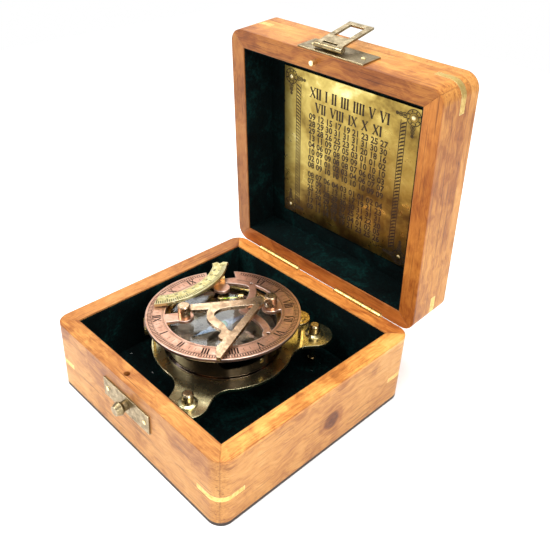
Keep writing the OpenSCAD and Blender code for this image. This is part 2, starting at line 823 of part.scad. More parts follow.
module ring_hinge_bracket() {
    color("#8f8a55") dial() difference() {
        union() {
            strap(strap_in - waist_r, pad_top - strap_t / 2);
            translate([-ring_hinge_x - ring_knuckle_r, -hinge_w / 2, pad_top - strap_t])
                cube([ring_hinge_x + ring_knuckle_r - waist_r + strap_in + strap_t, hinge_w, strap_t]);
            for (s = [-1, 1]) translate([-ring_hinge_x, s * (hinge_w - bracket_lug_w) / 2, 0]) {
                translate([0, 0, ring_hinge_z]) across(ring_knuckle_r, bracket_lug_w);
                translate([-ring_knuckle_r, -bracket_lug_w / 2, pad_top - strap_t / 2])
                    cube([2 * ring_knuckle_r, bracket_lug_w, ring_hinge_z - pad_top + strap_t / 2]);
            }
        }
        translate([-ring_hinge_x, 0, ring_hinge_z]) across(ring_pin_r, long);
    }
}

module ring_hinge_pin() {
    color("#c9b374") dial() translate([-ring_hinge_x, 0, ring_hinge_z])
        across(ring_pin_r, hinge_w);
}

module ring_rest() {
    color("#b9b25c") dial() rotate(ear_turn) {
        strap(pad_x + strap_t, rest_top - strap_t / 2);
        translate([pad_x, 0, rest_top - strap_t]) cylinder(h = strap_t, r = pad_r, $fn = mid);
        translate([pad_x, 0, rest_top]) {
            cylinder(h = strap_t * 0.4, r = pad_r * 0.62, $fn = mid);
            cylinder(h = strap_t * 0.8, r = pad_r * 0.36, $fn = mid);
        }
    }
}

// Needle, free on its pivot

module needle() {
    color("#26303c") dial() translate([0, 0, needle_base]) rotate(needle_az) difference() {
        linear_extrude(needle_t) {
            polygon([[needle_len, 0], [0, needle_w / 2], [-needle_len, 0], [0, -needle_w / 2]]);
            circle(needle_w / 2, $fn = small);
        }
        translate([0, 0, -cut]) cylinder(h = needle_t + 2 * cut, r = pivot_r + run_gap, $fn = small);
    }
}

module needle_cap() {
    color("#3fae93") dial() translate([0, 0, needle_base + needle_t]) rotate_extrude($fn = mid) polygon([
        [0, cap_r * 0.5], [0, cap_r * 0.62], [cap_r * 0.45, cap_r * 0.56], [cap_r * 0.8, cap_r * 0.34],
        [cap_r, 0], [pivot_r + run_gap, 0], [pivot_r / 2, cap_r * 0.4]]);
}

// Hour ring and what it carries

module pierced_scrolls() {
    for (s = [0, 1]) mirror([0, s, 0]) {
        polygon(strip([scroll_hole, polar(ring_in_r - 6.4, 35), polar(ring_in_r - 13.6, 26.6),
            [ring_in_r - 22, -0.6]], scroll_w));
        translate(scroll_hole) circle(scroll_w * 0.75, $fn = mid);
    }
}

// Two lugs for the posts, each with a straight neck out to the band
module post_lugs() {
    for (x = [-post_n, post_s]) translate([x, post_y]) {
        neck = ring_in_r + 1.6 - abs(x);
        circle(lug_r, $fn = mid);
        translate([x > 0 ? 0 : -neck, -lug_r * 0.75]) square([neck, lug_r * 1.5]);
    }
}

// The bar inside the notch and the round lug on it
module notch_bar() {
    intersection() {
        difference() {
            circle(ring_in_r + 0.5, $fn = fine);
            circle(notch_y - notch_bar, $fn = fine);
        }
        polygon([[0, 0], 2 * ring_r * [cos(48), sin(48)], 2 * ring_r * [cos(116), sin(116)]]);
    }
    translate([notch_x - 1.5, ring_in_r - 7.6]) {
        circle(lug_r * 0.92, $fn = mid);
        translate([-lug_r * 0.6, 0]) square([lug_r * 1.2, notch_bar + 1.5]);
    }
}

// Lays the ring, drawn level, slightly open and askew in its hinge
module askew() {
    translate([0, 0, ring_top]) rotate([-ring_roll, 0, 0]) rotate([0, -ring_open, 0])
        translate([0, 0, -ring_top]) children();
}

module on_ring() {
    dial() askew() children();
}

module hour_ring() {
    lug_h = ring_z - ring_hinge_x * sin(ring_open) + ring_t / 2 - ring_hinge_z;
    color("#c4765a") dial() difference() {
        union() {
            askew() translate([0, 0, ring_z]) linear_extrude(ring_t) difference() {
                union() {
                    difference() {
                        circle(ring_r, $fn = fine);
                        circle(ring_in_r, $fn = fine);
                    }
                    pierced_scrolls();
                    post_lugs();
                    notch_bar();
                }
                translate([notch_x - notch_half, notch_y]) square([2 * notch_half, ring_r]);
                for (s = [-1, 1]) translate([scroll_hole[0], s * scroll_hole[1]])
                    circle(scroll_hole_r, $fn = small);
            }
            translate([-ring_hinge_x, 0, ring_hinge_z]) {
                across(ring_knuckle_r, ring_lug_w);
                translate([-ring_knuckle_r * 0.3, -ring_lug_w / 2, 0])
                    cube([ring_knuckle_r * 1.3, ring_lug_w, lug_h]);
            }
        }
        translate([-ring_hinge_x, 0, ring_hinge_z]) across(ring_pin_r + run_gap, long);
    }
}

// A post with a blind hole for the gnomon's pivot; inward is 1 or -1 along the dial's axis
module post(x, inward) {
    color("#c7b184") on_ring() translate([x, post_y, ring_top]) difference() {
        union() {
            cylinder(h = post_h * 0.92, r = post_r, $fn = mid);
            translate([0, 0, post_h * 0.92])
                cylinder(h = post_h * 0.08, r1 = post_r, r2 = post_r * 0.88, $fn = mid);
        }
        translate([0, 0, gnomon_z]) mirror([inward > 0 ? 0 : 1, 0, 0])
            along_x(gnomon_pivot_r + run_gap, post_r - pivot_in - pass_gap, post_r + cut);
    }
}

module arc_hinge_block() {
    color("#c9a64e") on_ring() difference() {
        for (x = [barrel_from - pass_gap - cheek, barrel_to + pass_gap])
            translate([x, arc_hinge_y, ring_top]) {
            translate([0, -arc_barrel_r, 0]) cube([cheek, 2 * arc_barrel_r, arc_hinge_z]);
            translate([0, 0, arc_hinge_z]) along_x(arc_barrel_r, 0, cheek);
        }
        translate([0, arc_hinge_y, arc_axis]) along_x(arc_pin_r, -long, long);
    }
}

module arc_hinge_pin() {
    color("#b59a5c") on_ring() translate([0, arc_hinge_y, arc_axis])
        along_x(arc_pin_r, barrel_from - pass_gap - cheek, barrel_to + pass_gap + cheek);
}

// Outline of the gnomon: u runs along its axis to the south, v away from the axis
module gnomon_outline() {
    bar = gnomon_bar / 2;
    cusp = gnomon_len - 16;
    tip = [-7.8, gnomon_len];
    foot = [gnomon_to - 2.7, bar + 1.9];
    along_style = (tip - foot) / norm(tip - foot);
    across_style = [-along_style[1], along_style[0]] * style_w;
    difference() {
        polygon(concat(
            [[gnomon_from, -bar], [gnomon_to - 9, -bar + 0.8], [gnomon_to - 3.6, -bar - 0.8],
                [gnomon_to - 1.6, -bar - 1.1], [gnomon_to - 0.3, -bar + 0.9], [gnomon_to, bar - 1.3],
                [gnomon_to - 0.6, bar + 0.6], foot, tip, tip + [-1.9, -1.4]],
            [[-8.8, cusp + 7.4], [-7, cusp + 5.3], [-5.1, cusp + 3.3], [-4.6, cusp + 1.7], [-6.2,
                cusp + 0.2]],
            curve([[-6.5, cusp - 1.4], [-4.8, cusp - 3.2], [-3.4, cusp - 5], [-5.2, cusp - 7]]),
            curve([[-5.2, cusp - 7], [-8, cusp - 10.5], [-10.4, 14.6], [-10.4, 10.6]]),
            curve([[-10.4, 10.6], [-10.4, 7.4], [-9.6, 5.2], [-8.4, bar + 0.8]]),
            [[gnomon_from, bar]]));
        polygon(concat(
            [foot + across_style + along_style * 1.6, [3.5, bar + 0.9]],
            curve([[3.5, bar + 0.9], [-1.6, bar + 0.9], [-6.2, 5.6], [-6.1, 9.4]], 8),
            curve([[-6.1, 9.4], [-6, 13], [-1.6, 15.5], [-1.4, cusp - 8]], 8),
            [[-0.6, cusp - 5.2], [1.1, cusp - 3.8]]));
    }
}

module gnomon() {
    color("#d9bd84") on_ring() translate([0, post_y, gnomon_axis]) rotate([gnomon_drop, 0, 0]) {
        mirror([0, 1, 0]) translate([0, 0, -gnomon_t / 2]) linear_extrude(gnomon_t) gnomon_outline();
        along_x(gnomon_pivot_r, gnomon_from - pivot_in - pass_gap, gnomon_from + cut);
        along_x(gnomon_pivot_r, gnomon_to - 2, gnomon_to + pivot_in + pass_gap);
    }
}

// Outline of the quadrant, round the middle of its arc
module arc_outline() {
    r_in = arc_r - arc_w;
    polygon(concat(
        [for (a = [-103:3:-13]) arc_r * [cos(a), sin(a)]],
        [polar(arc_r + 0.8, -11), polar(arc_r - 2.2, -9), polar(arc_r - arc_w * 0.5, -12),
            polar(r_in + 2.2, -8.4), polar(r_in - 0.8, -10.6)],
        [for (a = [-13:-3:-100]) r_in * [cos(a), sin(a)]]));
}

module latitude_arc() {
    color("#d9c66a") on_ring() difference() {
        union() {
            translate([arc_end[0], 0, arc_low]) rotate([0, -arc_slope, 0])
                translate([arc_x - arc_end[0], arc_y, 0]) linear_extrude(arc_t) arc_outline();
            translate([0, arc_hinge_y, arc_axis]) along_x(arc_barrel_r, barrel_from, barrel_to);
            translate([barrel_from, arc_hinge_y - arc_barrel_r * 0.8, arc_axis])
                cube([barrel_to - barrel_from, arc_barrel_r * 1.6, arc_web_top - arc_axis]);
        }
        translate([0, arc_hinge_y, arc_axis]) along_x(arc_pin_r + run_gap, -long, long);
    }
}

base_board();
base_wall(0);  // base_front_wall
base_wall(2);  // base_back_wall
base_wall(3);  // base_left_wall
base_wall(1);  // base_right_wall
base_corner_keys();
base_floor_pad();
base_side_linings();
catch_plate();
catch_stud();
catch_nails();
base_hinge_leaves();
base_hinge_nails();
hinge_pins();
lid_wall(0);  // lid_front_wall
lid_wall(2);  // lid_back_wall
lid_wall(3);  // lid_left_wall
lid_wall(1);  // lid_right_wall
lid_top_panel();
lid_corner_keys();
lid_top_lining();
lid_side_linings();
plaque();
plaque_pins();
hasp_plate();
hasp_nails();
hasp_pin();
locating_pin();
lid_hinge_leaves();
lid_hinge_nails();
hasp();
base_plate();
ear_collars();
bowl();
bowl_screws();
bezel();
crystal();
compass_card();
needle_pivot();
level_tube();
level_vial();
ring_hinge_bracket();
ring_hinge_pin();
ring_rest();
needle();
needle_cap();
levelling_screw(0);  // levelling_screw_south
levelling_screw(1);  // levelling_screw_west
levelling_screw(2);  // levelling_screw_east
hour_ring();
post(-post_n, 1);  // north_post
post(post_s, -1);  // south_post
arc_hinge_block();
arc_hinge_pin();
gnomon();
latitude_arc();
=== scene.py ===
"""Looks of the sundial compass in its case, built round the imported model. Metres, +Z up."""
import json
import math
import random

import bmesh
import bpy
from mathutils import Matrix, Vector, noise


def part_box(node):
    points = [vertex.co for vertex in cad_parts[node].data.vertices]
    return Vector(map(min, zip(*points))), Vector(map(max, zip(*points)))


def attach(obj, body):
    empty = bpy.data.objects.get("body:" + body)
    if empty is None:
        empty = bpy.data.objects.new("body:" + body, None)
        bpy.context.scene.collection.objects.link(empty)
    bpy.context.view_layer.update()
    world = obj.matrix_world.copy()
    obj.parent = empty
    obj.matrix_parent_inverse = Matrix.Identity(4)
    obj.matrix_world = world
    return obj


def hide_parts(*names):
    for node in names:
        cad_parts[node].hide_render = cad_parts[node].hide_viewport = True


MM = 0.001
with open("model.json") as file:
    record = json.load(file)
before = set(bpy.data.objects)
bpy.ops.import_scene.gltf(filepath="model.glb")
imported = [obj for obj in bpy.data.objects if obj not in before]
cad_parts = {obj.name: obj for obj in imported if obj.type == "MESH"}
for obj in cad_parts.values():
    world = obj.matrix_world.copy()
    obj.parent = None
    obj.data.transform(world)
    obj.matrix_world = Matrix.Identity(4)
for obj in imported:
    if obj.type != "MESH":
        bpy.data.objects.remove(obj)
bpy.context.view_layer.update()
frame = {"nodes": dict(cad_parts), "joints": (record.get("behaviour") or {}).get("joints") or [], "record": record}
JOINTS = {joint["name"]: joint for joint in frame["joints"]}


# The camera stands where the photograph was taken from

CAMERA_AT = (0.22677, -0.20683, 0.28632)
CAMERA_RIGHT = Vector((0.67612, 0.73659, 0.01755))
CAMERA_UP = Vector((-0.39889, 0.34591, 0.84925))
CAMERA_BACK = Vector((0.61948, -0.58119, 0.52769))
CAMERA_LENS = 45.97
CAMERA_SHIFT = (0.0618, -0.0517)


def make_camera():
    data = bpy.data.cameras.new("camera")
    data.lens = CAMERA_LENS
    data.sensor_width = 36
    data.shift_x, data.shift_y = CAMERA_SHIFT
    data.clip_start = 0.01
    camera = bpy.data.objects.new("camera", data)
    bpy.context.collection.objects.link(camera)
    turn = Matrix((CAMERA_RIGHT, CAMERA_UP, CAMERA_BACK)).transposed()
    camera.matrix_world = Matrix.Translation(CAMERA_AT) @ turn.to_4x4()
    bpy.context.scene.camera = camera


make_camera()


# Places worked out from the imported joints

def turned(degrees, axis):
    """The matrix that turns by this many degrees about an axis through the origin."""
    return Matrix.Rotation(math.radians(degrees), 4, axis)


def joint_turn(name, degrees):
    """The matrix that turns a child by this many degrees about its joint."""
    at = Vector(JOINTS[name]["pos_m"])
    turn = turned(degrees, Vector(JOINTS[name]["axis"]))
    return Matrix.Translation(at) @ turn @ Matrix.Translation(-at)


def outward(degrees):
    """The flat direction at this angle from +x."""
    return Vector((math.cos(math.radians(degrees)), math.sin(math.radians(degrees))))


LID = joint_turn("lid_hinge", -JOINTS["lid_hinge"]["range_deg"][0])
HINGE_Z = JOINTS["lid_hinge"]["pos_m"][2]
DIAL_CENTRE = Vector(JOINTS["needle_swing"]["pos_m"])
RING_HINGE_AXIS = JOINTS["ring_hinge"]["axis"]
DIAL_TURN = math.degrees(math.atan2(RING_HINGE_AXIS[0], -RING_HINGE_AXIS[1]))

# The hour ring lies slightly open and askew, as in the model's source
RING_OPEN = 1.5
RING_ROLL = 3.2
# Where the gnomon's axis stands in the ring's own space
GNOMON_AXIS = Vector((0, -0.6, 4.4)) * MM
RING_TURN = turned(DIAL_TURN, "Z") @ turned(-RING_ROLL, "X") @ turned(-RING_OPEN, "Y")
RING_AT = Vector(JOINTS["gnomon_hinge"]["pos_m"]) - RING_TURN.to_3x3() @ GNOMON_AXIS
RING = Matrix.Translation(RING_AT) @ RING_TURN

# The latitude arc, in the ring's millimetres
ARC_CENTRE = Vector((-29.0, 49.2))
ARC_R = 38.8
ARC_W = 8.4
ARC_T = 1.8
ARC_SLOPE = 5.7
ARC_LIFT = 0.3
ARC_END_ANGLE = 13
ARC_END_X = ARC_CENTRE.x - ARC_R * math.sin(math.radians(ARC_END_ANGLE))
ARC = RING @ Matrix.Translation((ARC_END_X * MM, 0, ARC_LIFT * MM)) @ turned(-ARC_SLOPE, "Y")
ARC = ARC @ Matrix.Translation(((ARC_CENTRE.x - ARC_END_X) * MM, ARC_CENTRE.y * MM, ARC_T * MM))


# Materials

class Graph:
    """Short calls that build one material's nodes."""

    def __init__(self, name):
        self.material = bpy.data.materials.new(name)
        self.material.use_nodes = True
        self.nodes = self.material.node_tree.nodes
        self.links = self.material.node_tree.links
        self.nodes.clear()
        self.place = self.add("ShaderNodeTexCoord").outputs["Object"]

    def put(self, socket, value):
        if isinstance(value, bpy.types.NodeSocket):
            self.links.new(value, socket)
        else:
            socket.default_value = value

    def add(self, kind, values=None, **settings):
        node = self.nodes.new(kind)
        for key, value in settings.items():
            setattr(node, key, value)
        for key, value in (values or {}).items():
            self.put(node.inputs[key], value)
        return node

    def mapped(self, scale=(1, 1, 1), location=(0, 0, 0), rotation=(0, 0, 0)):
        values = {"Vector": self.place, "Scale": scale, "Location": location, "Rotation": rotation}
        return self.add("ShaderNodeMapping", values).outputs["Vector"]

    def noise(self, vector, scale=1.0, detail=4.0, rough=0.5, distortion=0.0):
        values = {"Vector": vector, "Scale": scale, "Detail": detail, "Roughness": rough,
                  "Distortion": distortion}
        return self.add("ShaderNodeTexNoise", values).outputs["Fac"]

    def waves(self, vector, scale, distortion, detail, direction):
        values = {"Vector": vector, "Scale": scale, "Distortion": distortion, "Detail": detail}
        node = self.add("ShaderNodeTexWave", values, bands_direction=direction, wave_profile="SIN")
        return node.outputs["Fac"]

    def math(self, operation, a, b=0.0):
        node = self.add("ShaderNodeMath", operation=operation)
        self.put(node.inputs[0], a)
        self.put(node.inputs[1], b)
        return node.outputs[0]

    def mixed(self, *parts):
        """The sum of values, each times its weight."""
        total = 0.0
        for value, weight in parts:
            total = self.math("ADD", total, self.math("MULTIPLY", value, weight))
        return total

    def vector(self, operation, a, b, result="Vector"):
        node = self.add("ShaderNodeVectorMath", operation=operation)
        self.put(node.inputs[0], a)
        if operation == "SCALE":
            self.put(node.inputs["Scale"], b)
        elif b is not None:
            self.put(node.inputs[1], b)
        return node.outputs[result]

    def span(self, value, low, high, to_low=0.0, to_high=1.0):
        values = {"Value": value, "From Min": low, "From Max": high, "To Min": to_low, "To Max": to_high}
        return self.add("ShaderNodeMapRange", values).outputs["Result"]

    def ramp(self, value, stops):
        node = self.add("ShaderNodeValToRGB", {"Fac": value})
        ramp = node.color_ramp
        ramp.elements[0].position, ramp.elements[1].position = stops[0][0], stops[-1][0]
        ramp.elements[0].color, ramp.elements[1].color = (*stops[0][1], 1), (*stops[-1][1], 1)
        for position, color in stops[1:-1]:
            ramp.elements.new(position).color = (*color, 1)
        return node.outputs["Color"]

    def blend(self, amount, a, b, mode="MIX"):
        node = self.add("ShaderNodeMix", data_type="RGBA", blend_type=mode)
        self.put(node.inputs["Factor"], amount)
        self.put(node.inputs["A"], a if isinstance(a, bpy.types.NodeSocket) else (*a, 1))
        self.put(node.inputs["B"], b if isinstance(b, bpy.types.NodeSocket) else (*b, 1))
        return node.outputs["Result"]

    def axis(self, letter):
        return self.add("ShaderNodeSeparateXYZ", {"Vector": self.place}).outputs[letter]

    def rounded(self, radius):
        return self.add("ShaderNodeBevel", {"Radius": radius}, samples=6).outputs["Normal"]

    def worn_edge(self, radius):
        """0 on a flat face and up to 1 at an edge."""
        plain = self.add("ShaderNodeNewGeometry").outputs["True Normal"]
        return self.span(self.vector("DOT_PRODUCT", plain, self.rounded(radius), "Value"), 0.985, 0.85)

    def bump(self, height, strength, distance, normal=None):
        values = {"Height": height, "Strength": strength, "Distance": distance}
        if normal:
            values["Normal"] = normal
        return self.add("ShaderNodeBump", values).outputs["Normal"]

    def in_closed_case(self):
        """Lets the pattern follow the closed lid's axes."""
        back = LID.inverted()
        self.place = self.mapped(location=back.to_translation(), rotation=back.to_euler())

    def finish(self, color, roughness, normal=None, **constants):
        values = {"Base Color": color, "Roughness": roughness}
        if normal:
            values["Normal"] = normal
        shader = self.add("ShaderNodeBsdfPrincipled", values)
        for key, value in constants.items():
            shader.inputs[key.replace("_", " ")].default_value = value
        output = self.add("ShaderNodeOutputMaterial")
        self.links.new(shader.outputs["BSDF"], output.inputs["Surface"])
        return self.material


WOOD_DARK = (0.105, 0.030, 0.009)
WOOD_RED = (0.30, 0.105, 0.024)
WOOD_MAIN = (0.53, 0.245, 0.062)
WOOD_PALE = (0.72, 0.43, 0.155)
# How far from the rim's height the painted light and shade on the rims reaches, from full to none
RIM_LIGHT_BAND = (0.0010, 0.0022)
# How often each pattern repeats in a metre, across the grain and along it
FIGURE_SCALE = (105.0, 13.0)
LINE_SCALE = (620.0, 26.0)
FIBRE_SCALE = (2100.0, 55.0)


def grain_scale(scales, along):
    """Scales for the three axes, with the grain along one of them."""
    across, with_grain = scales
    return [with_grain if axis == along else across for axis in range(3)]


def wood(name, along, seed, in_lid=False, tint=(1, 1, 1), rim_painted_light=(1, 1, 1), knot=None):
    """Oiled hardwood with its grain along axis number along, in the closed case's axes."""
    g = Graph(name)
    if in_lid:
        g.in_closed_case()
    fibre = grain_scale(FIBRE_SCALE, along)
    offset = (seed * 3.1, seed * 1.7, seed * 2.3)
    slow = g.mapped(scale=(15, 15, 15), location=offset)
    warp = g.add("ShaderNodeTexNoise", {"Vector": slow, "Detail": 1.0}).outputs["Color"]
    swing = g.vector("SCALE", g.vector("SUBTRACT", warp, (0.5, 0.5, 0.5)), 2.4)
    place = g.vector("ADD", g.mapped(scale=grain_scale(FIGURE_SCALE, along), location=offset), swing)
    drift = g.math("SUBTRACT", g.noise(g.mapped(scale=(20, 20, 20), location=offset), 1.0, 2.0), 0.5)
    broad = g.noise(place, 0.26, 4.0, 0.55, 0.35)
    figure = g.noise(place, 1.1, 5.0, 0.60, 0.25)
    rings = g.waves(place, 0.40, 2.2, 2.0, "XYZ"[(along + 1) % 3])
    fibres = g.noise(g.mapped(scale=fibre), 1.0, 3.0, 0.6)
    lines = g.mapped(scale=grain_scale(LINE_SCALE, along), location=offset)
    bands = g.noise(g.vector("ADD", lines, g.vector("SCALE", swing, 2.0)), 1.0, 4.0, 0.7)
    tone = g.mixed((broad, 0.40), (figure, 0.13), (rings, 0.03), (fibres, 0.20), (drift, 0.28),
                   (bands, 0.24), (1.0, 0.022))
    if knot:
        apart = g.math("ADD", g.vector("DISTANCE", g.place, knot, "Value"), g.math("MULTIPLY", drift, 0.014))
        near = g.span(apart, 0.001, 0.012, 1.0, 0.0)
        whorl = g.math("MULTIPLY", g.math("SINE", g.math("MULTIPLY", apart, 1400.0)), near)
        tone = g.mixed((tone, 1.0), (whorl, 0.04), (g.math("POWER", near, 2.0), -0.22))
    color = g.ramp(tone, [(0.34, WOOD_DARK), (0.45, WOOD_RED), (0.56, WOOD_MAIN), (0.74, WOOD_PALE)])
    streak = g.span(g.noise(place, 1.7, 3.0, 0.5, 0.5), 0.60, 0.80, 0.0, 0.40)
    color = g.blend(streak, color, WOOD_RED)
    pores = g.span(g.noise(g.mapped(scale=fibre, location=offset), 0.50, 2.0, 0.5), 0.62, 0.68)
    color = g.blend(g.math("MULTIPLY", pores, 0.55), color, WOOD_DARK)
    # Painted light and shade on the rims: near the rim's height each part's colour is multiplied by its own rim
    # factor, lighter or darker
    from_rim = g.math("ABSOLUTE", g.math("SUBTRACT", g.axis("Z"), HINGE_Z))
    shade = g.blend(g.span(from_rim, *RIM_LIGHT_BAND, 1.0, 0.0), tint, rim_painted_light)
    color = g.blend(1.0, color, shade, "MULTIPLY")
    color = g.blend(g.math("MULTIPLY", g.worn_edge(0.0012), 0.35), color, WOOD_RED)
    relief = g.mixed((fibres, 1.0), (pores, -0.7))
    normal = g.bump(relief, 0.16, 0.00025, g.rounded(0.0008))
    return g.finish(color, g.span(fibres, 0.3, 0.7, 0.34, 0.50), normal, Coat_Weight=0.05,
                    Coat_Roughness=0.30, Specular_IOR_Level=0.22)


def dark_board(name):
    """The stained board under the case."""
    g = Graph(name)
    grain = g.noise(g.mapped(scale=(30, 600, 600)), 1.0, 4.0)
    color = g.ramp(grain, [(0.3, (0.012, 0.006, 0.004)), (0.7, (0.045, 0.022, 0.012))])
    normal = g.bump(grain, 0.15, 0.0002, g.rounded(0.0005))
    return g.finish(color, g.span(grain, 0.3, 0.7, 0.45, 0.6), normal)


def velvet(name):
    """Near-black green velvet with brushed patches."""
    g = Graph(name)
    brushed = g.noise(g.mapped(scale=(60, 60, 60)), 1.0, 4.0, 0.6, 0.8)
    pile = g.noise(g.place, 2600.0, 2.0)
    clumps = g.noise(g.place, 620.0, 3.0, 0.6)
    tone = g.mixed((brushed, 0.62), (clumps, 0.38))
    color = g.ramp(tone, [(0.38, (0.0001, 0.0008, 0.0009)), (0.52, (0.0004, 0.0036, 0.0036)),
                          (0.70, (0.0024, 0.0260, 0.0230))])
    normal = g.bump(g.mixed((pile, 1.0), (clumps, 0.8)), 0.65, 0.0005)
    return g.finish(color, g.span(pile, 0.3, 0.7, 0.85, 1.0), normal, Sheen_Weight=0.07,
                    Sheen_Roughness=0.35, Sheen_Tint=(0.05, 0.42, 0.40, 1), Specular_IOR_Level=0.08)


def metal(name, dark, main, bright, rough=(0.18, 0.38), scale=220.0, tarnish=0.5, edge=0.0003,
          scratches=0.25, edge_rub_and_highlight_color=(0.85, 0.70, 0.42), edge_rub_and_highlight_share=0.5):
    """Aged polished metal: clouded colour, fine scratches and a rounded edge, lightened at the edge as rubbed wear
    and a painted highlight.
    """
    g = Graph(name)
    cloud = g.noise(g.place, scale, 5.0, 0.6, 0.4)
    spots = g.noise(g.place, scale * 5, 3.0, 0.6)
    fine = g.noise(g.mapped(scale=(4200, 900, 900), rotation=(0, 0, 0.6)), 1.0, 2.0)
    tone = g.mixed((cloud, 0.75), (spots, 0.25))
    color = g.ramp(tone, [(0.5 - tarnish * 0.4, dark), (0.5, main), (0.5 + tarnish * 0.4, bright)])
    # Lighter towards each rounded edge: partly rubbed wear, partly a painted highlight along the edge
    color = g.blend(g.math("MULTIPLY", g.worn_edge(edge * 1.5), edge_rub_and_highlight_share), color, edge_rub_and_highlight_color)
    normal = g.bump(g.mixed((fine, 1.0), (cloud, 0.6)), scratches, 0.00006, g.rounded(edge))
    return g.finish(color, g.span(tone, 0.35, 0.65, rough[1], rough[0]), normal, Metallic=1.0)


def plaque_metal(name):
    """Etched sheet brass, golden above and darker towards its lower edge as a painted dark reflection, in the
    closed lid's axes.
    """
    g = Graph(name)
    g.in_closed_case()
    cloud = g.noise(g.place, 26.0, 4.0, 0.55, 0.9)
    spots = g.noise(g.place, 150.0, 5.0, 0.6, 0.5)
    # Painted reflection: the colour is pulled darker towards the plaque's lower edge, where a dark reflection
    # falls
    painted_dark_reflection = g.math("POWER", g.span(g.axis("Y"), -0.045, 0.048), 2.5)
    tone = g.mixed((cloud, 0.85), (spots, 0.30), (painted_dark_reflection, -0.20))
    color = g.ramp(tone, [(0.24, (0.040, 0.024, 0.009)), (0.40, (0.120, 0.072, 0.020)),
                          (0.52, (0.30, 0.21, 0.050)), (0.66, (0.48, 0.37, 0.105)),
                          (0.82, (0.86, 0.76, 0.36))])
    fine = g.noise(g.mapped(scale=(300, 3000, 3000)), 1.0, 3.0)
    normal = g.bump(g.mixed((fine, 0.3), (cloud, 3.0)), 0.30, 0.0004)
    return g.finish(color, g.span(spots, 0.3, 0.7, 0.40, 0.24), normal, Metallic=1.0)


def clear_glass(name, color, roughness=0.02):
    """Clear glass with a little dust."""
    g = Graph(name)
    dust = g.noise(g.place, 900.0, 4.0)
    shade = g.blend(g.span(dust, 0.4, 0.8, 0.0, 0.12), color, (0.75, 0.8, 0.78))
    rough = g.span(dust, 0.3, 0.8, roughness, roughness + 0.05)
    return g.finish(shade, rough, g.bump(dust, 0.02, 0.00002), IOR=1.45, Transmission_Weight=1.0)


def card_print(name):
    """The dark card under the glass, with a printed band round the dial's middle."""
    g = Graph(name)
    centred = g.mapped(location=(-DIAL_CENTRE.x, -DIAL_CENTRE.y, 0))
    out = g.vector("LENGTH", g.vector("MULTIPLY", centred, (1, 1, 0)), None, "Value")
    stain = g.noise(g.place, 160.0, 4.0)
    color = g.ramp(stain, [(0.3, (0.075, 0.060, 0.045)), (0.7, (0.19, 0.15, 0.11))])
    band = g.math("MULTIPLY", g.span(out, 0.0190, 0.0192), g.span(out, 0.0260, 0.0258))
    color = g.blend(g.math("MULTIPLY", band, 0.45), color, (0.30, 0.22, 0.16))
    return g.finish(color, g.span(stain, 0.3, 0.7, 0.25, 0.45), g.bump(stain, 0.1, 0.0001), Metallic=0.6)


def jewel(name):
    """The cloudy green stone of the needle's cap."""
    g = Graph(name)
    cloud = g.noise(g.place, 500.0, 4.0, 0.6, 0.5)
    color = g.ramp(cloud, [(0.3, (0.10, 0.42, 0.30)), (0.5, (0.22, 0.62, 0.46)), (0.7, (0.62, 0.88, 0.74))])
    normal = g.bump(cloud, 0.1, 0.0001)
    return g.finish(color, g.span(cloud, 0.3, 0.7, 0.12, 0.3), normal, Coat_Weight=0.6)


def patina(name, color=(0.014, 0.007, 0.004), share=2.6):
    """The dark filling of engraved marks; share says how much lighter its rubbed places are."""
    g = Graph(name)
    stain = g.noise(g.place, 1100.0, 4.0, 0.6)
    lighter = tuple(share * c for c in color)
    shade = g.ramp(stain, [(0.40, color), (0.72, lighter)])
    normal = g.bump(stain, 0.2, 0.00005)
    return g.finish(shade, g.span(stain, 0.3, 0.7, 0.45, 0.7), normal, Specular_IOR_Level=0.12)


def lint_fibre(name):
    """Off-white cotton lint."""
    g = Graph(name)
    shade = g.ramp(g.noise(g.place, 3000.0, 2.0), [(0.3, (0.55, 0.56, 0.54)), (0.7, (0.9, 0.9, 0.88))])
    return g.finish(shade, 0.9, Sheen_Weight=0.3)


